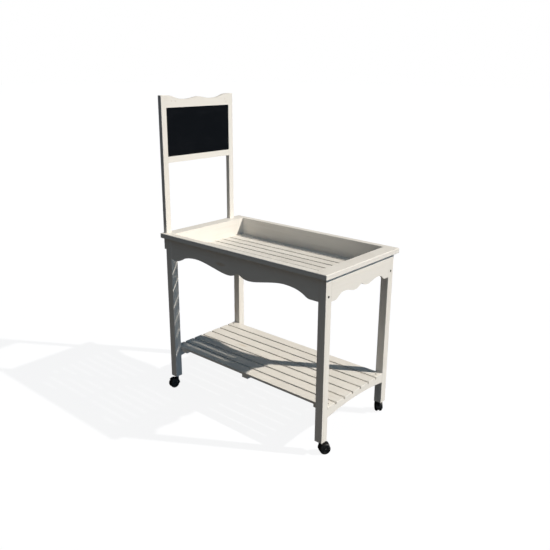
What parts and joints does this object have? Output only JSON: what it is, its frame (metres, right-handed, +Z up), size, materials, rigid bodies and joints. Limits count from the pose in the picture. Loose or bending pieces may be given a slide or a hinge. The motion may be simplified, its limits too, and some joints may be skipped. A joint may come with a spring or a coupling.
{
  "type": "potting bench",
  "caption": "Painted wooden potting bench with a slatted tray top, scalloped aprons, a slatted lower shelf, a chalkboard frame at one end and swivel casters.",
  "frame": {"origin": "on the floor under the middle of the bench", "axes": "+X along the length towards the end without the chalkboard, +Y to the back, +Z up"},
  "size_m": [1.0436, 0.5679, 1.511],
  "materials": {
    "painted_wood": "satin off-white paint over softwood, grain just showing",
    "blackboard": "matte blackboard paint on thin board",
    "dark_steel": "dull dark zinc",
    "painted_steel": "screw heads under the off-white paint",
    "plated_steel": "bright zinc",
    "black_hood": "moulded black nylon, semi gloss",
    "black_wheel": "moulded black nylon, worn tread"
  },
  "bodies": {
    "bench": {"apron_back": "painted_wood", "apron_front": "painted_wood", "apron_left": "painted_wood", "apron_right": "painted_wood", "caster_stems": "plated_steel", "chalkboard": "blackboard", "frame_bottom_rail": "painted_wood", "frame_screws": "painted_steel", "frame_top_rail": "painted_wood", "frame_upright_back": "painted_wood", "frame_upright_front": "painted_wood", "leg_back_left": "painted_wood", "leg_back_right": "painted_wood", "leg_bolts": "dark_steel", "leg_front_left": "painted_wood", "leg_front_right": "painted_wood", "rim_back": "painted_wood", "rim_front": "painted_wood", "rim_left": "painted_wood", "rim_right": "painted_wood", "shelf_batten_left": "painted_wood", "shelf_batten_middle": "painted_wood", "shelf_batten_right": "painted_wood", "shelf_rail_left": "painted_wood", "shelf_rail_right": "painted_wood", "shelf_screws": "dark_steel", "shelf_slat_1": "painted_wood", "shelf_slat_2": "painted_wood", "shelf_slat_3": "painted_wood", "shelf_slat_4": "painted_wood", "shelf_slat_5": "painted_wood", "shelf_slat_6": "painted_wood", "shelf_slat_7": "painted_wood", "tray_bearer_left": "painted_wood", "tray_bearer_middle": "painted_wood", "tray_bearer_right": "painted_wood", "tray_slat_1": "painted_wood", "tray_slat_2": "painted_wood", "tray_slat_3": "painted_wood", "tray_slat_4": "painted_wood", "tray_slat_5": "painted_wood", "tray_slat_6": "painted_wood", "tray_slat_7": "painted_wood", "tray_slat_8": "painted_wood", "tray_slat_9": "painted_wood", "tray_wall_left": "painted_wood", "tray_wall_right": "painted_wood"},
    "caster_front_left_swivel": {"caster_front_left_housing": "black_hood"},
    "caster_front_left_wheel_left": {"caster_front_left_wheel_left": "black_wheel"},
    "caster_front_left_wheel_right": {"caster_front_left_wheel_right": "black_wheel"},
    "caster_front_right_swivel": {"caster_front_right_housing": "black_hood"},
    "caster_front_right_wheel_left": {"caster_front_right_wheel_left": "black_wheel"},
    "caster_front_right_wheel_right": {"caster_front_right_wheel_right": "black_wheel"},
    "caster_back_left_swivel": {"caster_back_left_housing": "black_hood"},
    "caster_back_left_wheel_left": {"caster_back_left_wheel_left": "black_wheel"},
    "caster_back_left_wheel_right": {"caster_back_left_wheel_right": "black_wheel"},
    "caster_back_right_swivel": {"caster_back_right_housing": "black_hood"},
    "caster_back_right_wheel_left": {"caster_back_right_wheel_left": "black_wheel"},
    "caster_back_right_wheel_right": {"caster_back_right_wheel_right": "black_wheel"}
  },
  "joints": [
    {"name": "caster_front_left_swivel_turn", "type": "hinge", "parent": "bench", "child": "caster_front_left_swivel", "pos_m": [-0.4805, -0.2405, 0.065], "axis": [0, 0, 1], "continuous": true},
    {"name": "caster_front_left_wheel_left_roll", "type": "hinge", "parent": "caster_front_left_swivel", "child": "caster_front_left_wheel_left", "pos_m": [-0.48389, -0.2597, 0.025], "axis": [0.9848, -0.1736, 0], "continuous": true},
    {"name": "caster_front_left_wheel_right_roll", "type": "hinge", "parent": "caster_front_left_swivel", "child": "caster_front_left_wheel_right", "pos_m": [-0.48389, -0.2597, 0.025], "axis": [0.9848, -0.1736, 0], "continuous": true},
    {"name": "caster_front_right_swivel_turn", "type": "hinge", "parent": "bench", "child": "caster_front_right_swivel", "pos_m": [0.4805, -0.2405, 0.065], "axis": [0, 0, 1], "continuous": true},
    {"name": "caster_front_right_wheel_left_roll", "type": "hinge", "parent": "caster_front_right_swivel", "child": "caster_front_right_wheel_left", "pos_m": [0.49223, -0.22493, 0.025], "axis": [-0.7986, 0.6018, 0], "continuous": true},
    {"name": "caster_front_right_wheel_right_roll", "type": "hinge", "parent": "caster_front_right_swivel", "child": "caster_front_right_wheel_right", "pos_m": [0.49223, -0.22493, 0.025], "axis": [-0.7986, 0.6018, 0], "continuous": true},
    {"name": "caster_back_left_swivel_turn", "type": "hinge", "parent": "bench", "child": "caster_back_left_swivel", "pos_m": [-0.4805, 0.2405, 0.065], "axis": [0, 0, 1], "continuous": true},
    {"name": "caster_back_left_wheel_left_roll", "type": "hinge", "parent": "caster_back_left_swivel", "child": "caster_back_left_wheel_left", "pos_m": [-0.49817, 0.23226, 0.025], "axis": [0.4226, -0.9063, 0], "continuous": true},
    {"name": "caster_back_left_wheel_right_roll", "type": "hinge", "parent": "caster_back_left_swivel", "child": "caster_back_left_wheel_right", "pos_m": [-0.49817, 0.23226, 0.025], "axis": [0.4226, -0.9063, 0], "continuous": true},
    {"name": "caster_back_right_swivel_turn", "type": "hinge", "parent": "bench", "child": "caster_back_right_swivel", "pos_m": [0.4805, 0.2405, 0.065], "axis": [0, 0, 1], "continuous": true},
    {"name": "caster_back_right_wheel_left_roll", "type": "hinge", "parent": "caster_back_right_swivel", "child": "caster_back_right_wheel_left", "pos_m": [0.46745, 0.25499, 0.025], "axis": [-0.7431, -0.6691, 0], "continuous": true},
    {"name": "caster_back_right_wheel_right_roll", "type": "hinge", "parent": "caster_back_right_swivel", "child": "caster_back_right_wheel_right", "pos_m": [0.46745, 0.25499, 0.025], "axis": [-0.7431, -0.6691, 0], "continuous": true}
  ]
}
